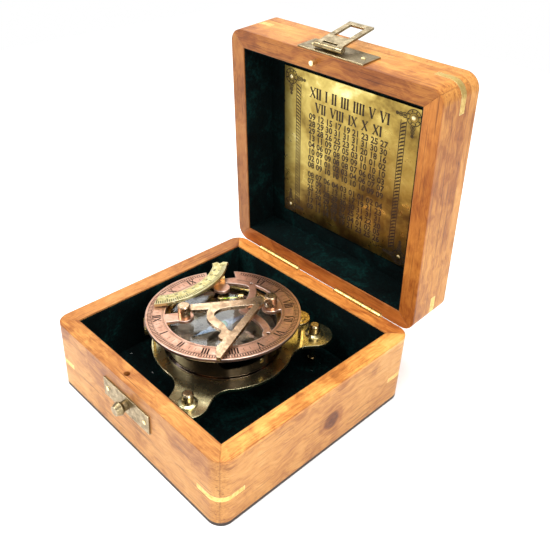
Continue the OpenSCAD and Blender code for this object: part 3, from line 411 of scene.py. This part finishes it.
# Each metal: its dark, main and bright colour, then what differs from the usual finish
METALS = {
    "key_brass": ((0.50, 0.32, 0.09), (0.74, 0.52, 0.17), (0.90, 0.70, 0.30),
                  dict(rough=(0.38, 0.52), scale=600)),
    "hardware_brass": ((0.09, 0.065, 0.035), (0.27, 0.21, 0.115), (0.52, 0.43, 0.26),
                       dict(rough=(0.24, 0.48), scale=300, tarnish=0.7)),
    "nail_brass": ((0.50, 0.38, 0.16), (0.85, 0.72, 0.38), (0.95, 0.88, 0.62),
                   dict(rough=(0.2, 0.35))),
    "hinge_brass": ((0.42, 0.27, 0.07), (0.78, 0.56, 0.18), (0.92, 0.72, 0.30),
                    dict(rough=(0.34, 0.48), scale=500)),
    "plate_brass": ((0.30, 0.25, 0.12), (0.60, 0.53, 0.29), (0.82, 0.74, 0.44),
                    dict(rough=(0.18, 0.34), scale=80, tarnish=0.7, edge=0.0004, scratches=0.08,
                         edge_rub_and_highlight_color=(0.80, 0.74, 0.46), edge_rub_and_highlight_share=0.45)),
    "bowl_brass": ((0.008, 0.007, 0.007), (0.022, 0.017, 0.016), (0.07, 0.042, 0.028),
                   dict(rough=(0.05, 0.14), scale=90, tarnish=0.8, scratches=0.12,
                        edge_rub_and_highlight_color=(0.60, 0.42, 0.25))),
    "bright_brass": ((0.26, 0.17, 0.06), (0.55, 0.39, 0.15), (0.80, 0.64, 0.32),
                     dict(scale=300)),
    "screw_brass": ((0.12, 0.08, 0.04), (0.36, 0.27, 0.15), (0.72, 0.60, 0.42),
                    dict(rough=(0.16, 0.34), scale=420)),
    "post_brass": ((0.24, 0.14, 0.08), (0.52, 0.36, 0.22), (0.78, 0.60, 0.42),
                   dict(rough=(0.20, 0.36), scale=260, tarnish=0.6, edge_rub_and_highlight_color=(0.92, 0.80, 0.60), edge_rub_and_highlight_share=0.6)),
    "arc_brass": ((0.48, 0.40, 0.13), (0.80, 0.70, 0.33), (0.93, 0.88, 0.60),
                  dict(rough=(0.26, 0.42), scale=330, edge=0.0004, edge_rub_and_highlight_color=(0.95, 0.90, 0.70))),
    "copper": ((0.34, 0.150, 0.090), (0.66, 0.37, 0.255), (0.86, 0.60, 0.46),
               dict(rough=(0.28, 0.46), scale=200, tarnish=0.8, edge=0.0005,
                    edge_rub_and_highlight_color=(0.97, 0.85, 0.76), edge_rub_and_highlight_share=0.8)),
    "blued_steel": ((0.03, 0.04, 0.06), (0.10, 0.13, 0.19), (0.25, 0.30, 0.38),
                    dict(rough=(0.2, 0.35))),
}
MATERIALS = {
    "dark_wood": dark_board("dark_board"),
    "velvet": velvet("velvet"),
    "plaque_brass": plaque_metal("plaque_brass"),
    "clear_glass": clear_glass("clear_glass", (0.95, 0.98, 0.97)),
    "vial_glass": clear_glass("vial_glass", (0.62, 0.80, 0.25), 0.05),
    "card": card_print("card_print"),
    "jewel": jewel("jewel"),
}
for name, (dark, main, bright, finish) in METALS.items():
    MATERIALS[name] = metal(name, dark, main, bright, **finish)
ENGRAVED = patina("engraved")
ENGRAVED_FAINT = patina("engraved_faint", (0.16, 0.070, 0.042), 2.2)
ETCHED = patina("etched", (0.022, 0.015, 0.010), 3.0)

# Each wooden part: grain axis, seed, whether it is in the lid, tint of its faces, painted light and shade on its
# rim
GRAIN = {
    "base_front_wall": (0, 1.0, False, (0.95, 0.95, 1.0), (1.0, 0.95, 0.9)),
    "base_back_wall": (0, 2.0, False, (0.9, 0.85, 0.8), (1.25, 1.05, 0.85)),
    "base_left_wall": (1, 3.0, False, (0.85, 0.8, 0.8), (0.85, 0.75, 0.75)),
    "base_right_wall": (1, 4.2, False, (0.95, 0.95, 1.0), (1.35, 1.35, 1.25)),
    "lid_front_wall": (0, 5.0, True, (1.0, 0.95, 0.85), (0.72, 0.58, 0.42)),
    "lid_back_wall": (0, 6.0, True, (0.9, 0.7, 0.6), (0.75, 0.50, 0.35)),
    "lid_left_wall": (1, 7.0, True, (0.9, 0.85, 0.85), (0.62, 0.50, 0.42)),
    "lid_right_wall": (1, 8.4, True, (0.95, 0.90, 0.80), (0.85, 0.65, 0.45)),
    "lid_top_panel": (1, 9.0, True, (0.95, 0.90, 0.85), (1, 1, 1)),
}
KNOT_AT = (0.0705, 0.0060, 0.0205)


def dress(node, material):
    """Gives a CAD node one material in all its slots."""
    slots = frame["nodes"][node].data.materials
    if not slots:
        slots.append(material)
    for index in range(len(slots)):
        slots[index] = material


for part in frame["record"]["subparts"]:
    name, slot = part["node"], part["material_slot"]
    if name in GRAIN:
        knot = KNOT_AT if name == "base_right_wall" else None
        dress(name, wood("wood_" + name, *GRAIN[name], knot=knot))
    elif slot in MATERIALS:
        dress(name, MATERIALS[slot])


# Helpers that make pieces

def piece(name, mesh, body, material, smooth=None):
    """Links a mesh as a piece that rides on a body."""
    made = bpy.data.objects.new(name, mesh)
    bpy.context.collection.objects.link(made)
    mesh.materials.append(material)
    if smooth is not None:
        mesh.shade_smooth()
        mesh.set_sharp_from_angle(angle=math.radians(smooth))
    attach(made, body)
    return made


def mesh_of(bm, name, matrix=Matrix.Identity(4)):
    bm.transform(matrix)
    bmesh.ops.recalc_face_normals(bm, faces=bm.faces)
    mesh = bpy.data.meshes.new(name)
    bm.to_mesh(mesh)
    bm.free()
    return mesh


def prism(bm, outline, low, high):
    """A flat outline, in metres, drawn up from low to high."""
    below = [bm.verts.new((x, y, low)) for x, y in outline]
    above = [bm.verts.new((x, y, high)) for x, y in outline]
    bm.faces.new(below[::-1])
    bm.faces.new(above)
    for i in range(len(outline)):
        j = (i + 1) % len(outline)
        bm.faces.new((below[i], below[j], above[j], above[i]))


def soft_box(name, low, high, body, crown, push, cells, seed, matrix=Matrix.Identity(4)):
    """A velvet pad between two corners. On the push side its edges are rounded and its face swells."""
    low, high, push = Vector(low), Vector(high), Vector(push)
    size = high - low
    thin = max(range(3), key=lambda i: abs(push[i]))
    face, rear = (high[thin], low[thin]) if push[thin] > 0 else (low[thin], high[thin])
    a, b = [i for i in range(3) if i != thin]
    counts = [max(2, int(size[a] / cells)), max(2, int(size[b] / cells))]
    bm = bmesh.new()
    roll = min(crown * 2.2, size[a] / 4, size[b] / 4)

    def point(i, j, front):
        u, v = i / counts[0], j / counts[1]
        p = Vector((0, 0, 0))
        p[a] = low[a] + u * size[a]
        p[b] = low[b] + v * size[b]
        near = min(u * size[a], (1 - u) * size[a], v * size[b], (1 - v) * size[b])
        drop = 0.0
        if front:
            t = max(0.0, 1 - near / roll)
            wave = noise.noise(Vector((p[a] * 60, p[b] * 60, seed * 3.7)))
            swell = noise.noise(Vector((p[a] * 22, p[b] * 22, seed * 1.3)))
            drop = crown * (1 - math.sqrt(max(0.0, 1 - t * t)))
            drop += crown * (1 - t) * (0.16 + 0.10 * wave + 0.14 * swell)
        p[thin] = (face - push[thin] * drop) if front else rear
        return p

    def sheet(front):
        rows = []
        for i in range(counts[0] + 1):
            rows.append([bm.verts.new(point(i, j, front)) for j in range(counts[1] + 1)])
        return rows

    top, base = sheet(True), sheet(False)
    for grid in (top, base):
        for i in range(counts[0]):
            for j in range(counts[1]):
                bm.faces.new((grid[i][j], grid[i + 1][j], grid[i + 1][j + 1], grid[i][j + 1]))
    rim = [(i, 0) for i in range(counts[0])] + [(counts[0], j) for j in range(counts[1])]
    rim += [(i, counts[1]) for i in range(counts[0], 0, -1)] + [(0, j) for j in range(counts[1], 0, -1)]
    for k, (i, j) in enumerate(rim):
        m, n = rim[(k + 1) % len(rim)]
        bm.faces.new((top[i][j], top[m][n], base[m][n], base[i][j]))
    made = piece(name, mesh_of(bm, name, matrix), body, MATERIALS["velvet"], 60)
    return made


# Velvet linings, each in the space of its CAD solid

LINING_T = 1.0 * MM
STRIP_CROWN = 0.25 * LINING_T
CUSHION_CROWN = 0.35 * MM
STRIP_CELLS = 2.5 * MM
LID_CELLS = 3 * MM

FLOOR_LOW, FLOOR_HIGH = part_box("base_floor_pad")
floor_pad = soft_box("floor_cushion", FLOOR_LOW, FLOOR_HIGH, "case", CUSHION_CROWN, (0, 0, 1), STRIP_CELLS,
                     seed=2)
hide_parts("base_floor_pad")


def side_pads(node, body, low, high, seed, matrix=Matrix.Identity(4)):
    """Four padded strips round the inside of a wall, between two corners of a box."""
    for k, (axis, side) in enumerate(((1, 1), (1, -1), (0, 1), (0, -1))):
        a, b = Vector(low), Vector(high)
        push = Vector((0, 0, 0))
        push[axis] = -side
        if side > 0:
            a[axis] = b[axis] - LINING_T
        else:
            b[axis] = a[axis] + LINING_T
        if axis == 0:
            a[1] += LINING_T * 0.6
            b[1] -= LINING_T * 0.6
        name = "%s_strip_%d" % (body, k + 1)
        soft_box(name, a, b, body, STRIP_CROWN, push, STRIP_CELLS, seed + k, matrix)
    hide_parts(node)


def closed_box(node):
    """Corners of a lid node's box in the closed case's axes."""
    back = LID.inverted()
    points = [back @ v.co for v in frame["nodes"][node].data.vertices]
    low = Vector([min(p[i] for p in points) for i in range(3)])
    high = Vector([max(p[i] for p in points) for i in range(3)])
    return low, high


side_pads("base_side_linings", "case", *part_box("base_side_linings"), 11)
side_pads("lid_side_linings", "lid", *closed_box("lid_side_linings"), 21, LID)
top_low, top_high = closed_box("lid_top_lining")
lid_pad = soft_box("lid_cushion", top_low, top_high, "lid", CUSHION_CROWN, (0, 0, -1), LID_CELLS,
                   seed=31, matrix=LID)
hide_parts("lid_top_lining")


TUFTS = 145
TUFT_PITCH = 0.81 * MM
TUFT_DEPTH = 0.5 * MM
TUFT_ROOT = 0.4 * MM


def fringe(name, body, wall, edge, limit, seed, matrix=Matrix.Identity(4)):
    """Frayed velvet tufts on all four walls, from a lining's open edge to short of limit."""
    picker = random.Random(seed)
    bm = bmesh.new()
    reach = wall - 0.02 * MM
    root = edge + (edge - limit) / abs(edge - limit) * TUFT_ROOT
    for side in range(4):
        turn = turned(90 * side, "Z")
        for k in range(TUFTS):
            y = (k - TUFTS // 2) * TUFT_PITCH + picker.uniform(-0.3, 0.3) * MM
            wide = picker.uniform(0.25, 0.5) * MM
            tip = Vector((reach - picker.uniform(0.0, 0.5) * MM, y + picker.uniform(-0.3, 0.3) * MM,
                          edge + (limit - edge) * picker.uniform(0.35, 1.0)))
            foot = [(reach, y - wide, root), (reach, y + wide, root), (reach - TUFT_DEPTH, y, root)]
            verts = [bm.verts.new(turn @ Vector(p)) for p in foot + [tip]]
            for i, j, m in ((0, 1, 2), (0, 1, 3), (1, 2, 3), (2, 0, 3)):
                bm.faces.new((verts[i], verts[j], verts[m]))
    piece(name, mesh_of(bm, name, matrix), body, MATERIALS["velvet"])


CASE_WALL, _, CASE_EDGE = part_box("base_side_linings")[1]
LID_LOW, LID_HIGH = closed_box("lid_side_linings")
fringe("case_fringe", "case", CASE_WALL, CASE_EDGE, HINGE_Z - 0.1 * MM, 9)
fringe("lid_fringe", "lid", LID_HIGH.x, LID_LOW.z, HINGE_Z + 0.4 * MM, 10, LID)


LINT_FIBRES = 16
LINT_REACH = 56
LINT_T = 0.09 * MM
LINT_STEPS = 5


def make_lint():
    """A few pale fibres on the floor's velvet."""
    picker = random.Random(5)
    bm = bmesh.new()
    z = FLOOR_HIGH[2] - 0.1 * MM
    for _ in range(LINT_FIBRES):
        x = picker.uniform(-LINT_REACH, LINT_REACH) * MM
        y = picker.uniform(-LINT_REACH, LINT_REACH) * MM
        turn = picker.uniform(0, math.pi)
        length = picker.uniform(0.5, 1.6) * MM
        across = Vector((-math.sin(turn), math.cos(turn), 0)) * LINT_T
        last = None
        for k in range(LINT_STEPS + 1):
            t = k / LINT_STEPS
            bend = Vector((math.cos(turn), math.sin(turn), 0)) * length * (t - 0.5)
            middle = Vector((x, y, z)) + bend + across * 5 * math.sin(t * math.pi)
            row = [bm.verts.new(middle + across), bm.verts.new(middle + Vector((0, 0, LINT_T))),
                   bm.verts.new(middle - across)]
            if last:
                for m in range(3):
                    n = (m + 1) % 3
                    bm.faces.new((last[m], last[n], row[n], row[m]))
            last = row
    piece("lint", mesh_of(bm, "lint"), "case", lint_fibre("lint_fibre"))


make_lint()


# Engraved and etched marks: thin dark fillings let into a face

class Marks:
    """Strokes on a face, in millimetres. The face's outside is +Z of the matrix."""
    SUNK = 0.05 * MM
    PROUD = 0.02 * MM

    def __init__(self, matrix):
        self.bm = bmesh.new()
        self.matrix = matrix

    def shape(self, points):
        """A filled outline."""
        prism(self.bm, [(x * MM, y * MM) for x, y in points], -self.SUNK, self.PROUD)

    def stroke(self, start, end, width, end_width=None):
        """A straight bar, which may taper."""
        a, b = Vector(start), Vector(end)
        side = (b - a).orthogonal().normalized()
        wide = width if end_width is None else end_width
        self.shape([a + side * width / 2, b + side * wide / 2, b - side * wide / 2, a - side * width / 2])

    def band(self, centre, r, width, start, end, steps):
        """Part of a ring of this width, from one angle to another in degrees."""
        inner, outer = r - width / 2, r + width / 2
        for k in range(steps):
            a, b = [math.radians(start + (end - start) * (k + d) / steps) for d in (0, 1)]
            self.shape([Vector(centre) + Vector((q * math.cos(t), q * math.sin(t)))
                        for q, t in ((inner, a), (outer, a), (outer, b), (inner, b))])

    def done(self, name, body, material):
        """Makes the strokes one piece."""
        return piece(name, mesh_of(self.bm, name, self.matrix), body, material)


# Strokes of the Roman numerals: start, end, whether thick; then how wide each one is
ROMAN = {
    "I": ([((0, 0), (0, 1), True), ((-0.13, 0), (0.13, 0), False), ((-0.13, 1), (0.13, 1), False)], 0.34),
    "V": ([((-0.28, 1), (0, 0), True), ((0, 0), (0.28, 1), False), ((-0.40, 1), (-0.14, 1), False),
           ((0.16, 1), (0.40, 1), False)], 0.78),
    "X": ([((-0.28, 1), (0.28, 0), True), ((-0.28, 0), (0.28, 1), False), ((-0.40, 0), (-0.16, 0), False),
           ((0.16, 1), (0.40, 1), False)], 0.80),
}


def roman(marks, text, at, up, height, thick, thin):
    """Writes a Roman numeral with its foot's middle at a point and its top towards up."""
    up = Vector(up).normalized()
    right = Vector((up.y, -up.x))
    x = -sum(ROMAN[letter][1] for letter in text) / 2
    for letter in text:
        strokes, wide = ROMAN[letter]
        x += wide / 2
        for start, end, heavy in strokes:
            a, b = [Vector(at) + (right * (p[0] + x) + up * p[1]) * height for p in (start, end)]
            marks.stroke(a, b, thick if heavy else thin)
        x += wide / 2


# Numerals round the ring, from its far end on by way of the near side
HOURS = ("XII", "I", "II", "III", "IIII", "V", "VI", "VII", "VIII", "V", "VI", "VII", "VIII", "IX", "X", "XI")
HOUR_STEP = 360 / len(HOURS)
HOUR_START = 180
# The notch in the ring's outer edge, in degrees, and the ring's marks, in millimetres
NOTCH_FROM, NOTCH_TO = 68, 97
TICK_OUT_R, TICK_IN_R, LONG_TICK_IN_R = 42.2, 40.2, 39.6
TICK_W = 0.50
TICKS = 180
RING_LINES = ((TICK_OUT_R, 0.26), (TICK_IN_R, 0.24), (LONG_TICK_IN_R, 0.14), (34.3, 0.14), (33.7, 0.22))
NUMERAL_R = 34.9
NUMERAL_H = 4.3


def clear_of_notch(angle, margin):
    return not NOTCH_FROM - margin < angle % 360 < NOTCH_TO + margin


def ring_marks():
    """Lines, ticks and numerals on the hour ring, left out where the ring is notched."""
    marks = Marks(RING)
    faint = Marks(RING)
    for r, width in RING_LINES:
        marks.band((0, 0), r, width, NOTCH_TO + 0.5 - 360, NOTCH_FROM - 0.5, 120)
    for k in range(TICKS):
        angle = k * 360 / TICKS
        if clear_of_notch(angle, 1):
            low = TICK_IN_R if k % 5 else LONG_TICK_IN_R
            marks.stroke(outward(angle) * low, outward(angle) * TICK_OUT_R, TICK_W)
    for k, text in enumerate(HOURS):
        angle = HOUR_START + k * HOUR_STEP
        if clear_of_notch(angle, 4):
            roman(marks, text, outward(angle) * NUMERAL_R, outward(angle), NUMERAL_H, 0.95, 0.42)
        for side in (-0.38, 0.38):
            middle = angle + side * HOUR_STEP
            if clear_of_notch(middle, 2):
                faint.stroke(outward(middle) * 36.0, outward(middle) * 38.5, 0.45, 0.2)
    marks.done("ring_marks", "dial_ring", ENGRAVED)
    faint.done("ring_faint_marks", "dial_ring", ENGRAVED_FAINT)


GLYPH_T = 0.03 * MM


def glyphs(name, text, size, body, material, matrix, bold, squeeze=1.0):
    """Small generic numbers, from the built-in font, centred on the matrix's origin."""
    curve = bpy.data.curves.new(name + "_curve", "FONT")
    curve.body = text
    curve.size = size
    curve.align_x, curve.align_y = "CENTER", "CENTER"
    curve.offset = bold
    curve.extrude = GLYPH_T
    curve.resolution_u = 2
    written = bpy.data.objects.new(name + "_written", curve)
    bpy.context.collection.objects.link(written)
    bpy.context.view_layer.update()
    mesh = bpy.data.meshes.new_from_object(written)
    bpy.data.objects.remove(written)
    bpy.data.curves.remove(curve)
    mesh.transform(matrix @ Matrix.Diagonal((squeeze, 1, 1, 1)))
    mesh.materials.clear()
    mesh.name = name
    return piece(name, mesh, body, material)


# The arc's scale runs from 0 to 90 between two angles, just inside the arc's outer edge
SCALE_FROM, SCALE_TO = -101, -15
SCALE_R = ARC_R - 0.5
ARC_NUMBER_R = ARC_R - ARC_W + 2.2


def scale_angle(reading):
    return SCALE_FROM + reading * (SCALE_TO - SCALE_FROM) / 90


def arc_marks():
    """Lines, ticks and plain numbers on the latitude arc."""
    marks = Marks(ARC)
    marks.band((0, 0), SCALE_R, 0.10, SCALE_FROM, SCALE_TO, 60)
    marks.band((0, 0), ARC_R - ARC_W + 0.6, 0.12, SCALE_FROM + 1, SCALE_TO, 60)
    for reading in range(0, 91, 2):
        out = outward(scale_angle(reading))
        deep = 2.3 if reading % 10 else 3.6
        marks.stroke(out * SCALE_R, out * (SCALE_R - deep), 0.50)
    marks.done("arc_marks", "quadrant", ENGRAVED)
    for k in range(1, 9):
        angle = scale_angle(10 * k)
        at = outward(angle).to_3d() * ARC_NUMBER_R * MM
        matrix = ARC @ Matrix.Translation(at) @ turned(angle + 90, "Z")
        glyphs("arc_number_%d" % k, str(10 * k), 2.1 * MM, "quadrant", ENGRAVED, matrix,
               bold=0.02 * MM)


ring_marks()
arc_marks()


# The plaque in the lid: rope borders, corner rosettes and a table of plain numbers

PLAQUE_LOW, PLAQUE_HIGH = closed_box("plaque")
PLAQUE_HALF_W = (PLAQUE_HIGH.x - PLAQUE_LOW.x) / 2 / MM
PLAQUE_HALF_H = (PLAQUE_HIGH.y - PLAQUE_LOW.y) / 2 / MM
PLAQUE_FACE = LID @ Matrix.Translation((0, 0, PLAQUE_LOW.z)) @ turned(180, "X")
ROPE_X = 36.6
ROPE_W = 3.4
ROPE_PITCH = 2.1
ROPE_LINE_W = 0.45
ROSETTE_IN = 5.4
# Heading lines: numerals, height of the foot, height of the numerals, gap between them
HEADINGS = ((HOURS[:7], 34.2, 6.0, 2.6), (("VII", "VIII", "IX", "X", "XI"), 26.0, 5.6, 3.0))
ROWS, COLUMNS = 14, 9
ROW_TOP = 22.2
ROW_PITCH = 4.45
LAST_ROW_OF_FIRST_BLOCK = 7
BLOCK_GAP = 2.2


def rope(marks, x, low, high, lean):
    """A twisted rope border: a pair of thin lines with leaning dark lays between."""
    for side in (-1, 1):
        edge = x + side * ROPE_W / 2
        marks.stroke((edge, low), (edge, high), ROPE_LINE_W)
    for k in range(int((high - low) / ROPE_PITCH)):
        y = low + ROPE_PITCH * (k + 0.15)
        near, far = [], []
        for t in range(7):
            u = t / 6
            across = x - lean * ROPE_W * 0.46 * math.cos(u * math.pi)
            up = y + ROPE_PITCH * 1.15 * u
            near.append((across, up))
            far.append((across, up + 0.30 + 0.75 * math.sin(u * math.pi)))
        marks.shape(near + far[::-1])


def rosette(marks, x, y, flip_x, flip_y):
    """A corner ornament of rings and leaves, the same in all four corners."""
    for r, w in ((4.4, 0.5), (2.6, 0.4)):
        marks.band((x, y), r, w, 0, 360, 28)
    for k in range(8):
        out = outward(k * 45 + 22)
        side = Vector((-out.y, out.x))
        middle = Vector((x, y)) + out * 3.5
        marks.shape([middle - out * 0.75, middle + side * 0.55, middle + out * 0.75, middle - side * 0.55])
    for k in range(3):
        for along in (0, 1):
            step = 5.6 + 2.3 * k
            at = Vector((x - flip_x * step * along, y - flip_y * step * (1 - along)))
            radius = 1.35 - 0.3 * k
            marks.band(at, radius, 0.45, 0, 360, 16)
            marks.band(at, radius * 0.4, radius * 0.45, 0, 360, 8)


def number_rows():
    """Rows of an hour table: each number comes from a simple formula."""
    rows = []
    for row in range(ROWS):
        values = []
        for column in range(COLUMNS):
            year_turn = 2 * math.pi * (row * 28 + column * 3 - 81)
            minutes = 9.9 * math.sin(year_turn * 2 / 365)
            minutes -= 7.5 * math.cos(year_turn / 365)
            values.append("%02d" % (abs(round(minutes * 2)) % 60))
        rows.append(" ".join(values))
    return rows


def plaque_marks():
    """The plaque's borders, ornaments, headings and rows."""
    marks = Marks(PLAQUE_FACE)
    edge_x, edge_y = PLAQUE_HALF_W - ROSETTE_IN, PLAQUE_HALF_H - ROSETTE_IN
    for side in (-1, 1):
        rope(marks, side * ROPE_X, -edge_y + 3, edge_y - 3, side)
        for end in (-1, 1):
            rosette(marks, side * edge_x, end * edge_y, side, end)
    for texts, y, height, gap in HEADINGS:
        widths = [height * sum(ROMAN[letter][1] for letter in text) for text in texts]
        x = -(sum(widths) + gap * (len(texts) - 1)) / 2
        for text, wide in zip(texts, widths):
            roman(marks, text, (x + wide / 2, y), (0, 1), height, 1.20, 0.52)
            x += wide + gap
    marks.done("plaque_marks", "lid", ETCHED)
    for k, row in enumerate(number_rows()):
        y = ROW_TOP - k * ROW_PITCH - (BLOCK_GAP if k > LAST_ROW_OF_FIRST_BLOCK else 0.0)
        matrix = PLAQUE_FACE @ Matrix.Translation((0, y * MM, 0))
        glyphs("plaque_row_%02d" % (k + 1), row, 5.3 * MM, "lid", ETCHED, matrix,
               bold=0.16 * MM, squeeze=0.95)


plaque_marks()


# Surroundings and light

def stage_material(name, color):
    """Matt paper."""
    g = Graph(name)
    soft = g.noise(g.place, 3.0, 2.0)
    shade = g.blend(g.span(soft, 0.3, 0.7, 0.0, 0.04), color, (0.95, 0.95, 0.95))
    return g.finish(shade, g.span(soft, 0.3, 0.7, 0.85, 0.9))


def make_floor():
    bpy.ops.mesh.primitive_plane_add(size=1.4, location=(0, 0, -0.0002))
    floor = bpy.context.object
    floor.name = "floor"
    floor.data.materials.append(stage_material("floor_white", (1.0, 1.0, 1.0)))


def make_world():
    """White where the camera looks, and a dimmer soft white that lights the part."""
    world = bpy.data.worlds.new("soft_white")
    bpy.context.scene.world = world
    world.use_nodes = True
    nodes, links = world.node_tree.nodes, world.node_tree.links
    nodes.clear()
    path = nodes.new("ShaderNodeLightPath")
    seen = nodes.new("ShaderNodeMath")
    seen.operation = "MAXIMUM"
    links.new(path.outputs["Is Camera Ray"], seen.inputs[0])
    links.new(path.outputs["Is Transmission Ray"], seen.inputs[1])
    shown = nodes.new("ShaderNodeBackground")
    shown.inputs["Color"].default_value = (1, 1, 1, 1)
    shown.inputs["Strength"].default_value = 1.0
    ambient = nodes.new("ShaderNodeBackground")
    ambient.inputs["Color"].default_value = (1, 0.99, 0.975, 1)
    ambient.inputs["Strength"].default_value = 0.50
    both = nodes.new("ShaderNodeMixShader")
    links.new(seen.outputs[0], both.inputs["Fac"])
    links.new(ambient.outputs[0], both.inputs[1])
    links.new(shown.outputs[0], both.inputs[2])
    output = nodes.new("ShaderNodeOutputWorld")
    links.new(both.outputs[0], output.inputs["Surface"])


def softbox(name, at, aim, size, power):
    """A rectangular soft light that faces aim."""
    data = bpy.data.lights.new(name, "AREA")
    data.shape = "RECTANGLE"
    data.size, data.size_y = size
    data.energy = power
    lamp = bpy.data.objects.new(name, data)
    bpy.context.collection.objects.link(lamp)
    lamp.location = at
    lamp.rotation_mode = "QUATERNION"
    lamp.rotation_quaternion = (Vector(at) - Vector(aim)).to_track_quat("Z", "Y")


make_floor()
make_world()
softbox("key", (-0.45, -0.55, 0.75), (0, 0, 0.05), (0.45, 0.45), 8.5)
softbox("fill", (0.75, -0.15, 0.50), (0, 0, 0.08), (0.45, 0.45), 5.0)
softbox("window", (-0.62, 0.52, 0.76), (0, 0, 0.04), (0.5, 0.45), 1.7)
softbox("top", (0.05, 0.05, 0.95), (0, 0, 0.05), (0.6, 0.6), 7.5)
bpy.context.scene.view_settings.view_transform = "Standard"
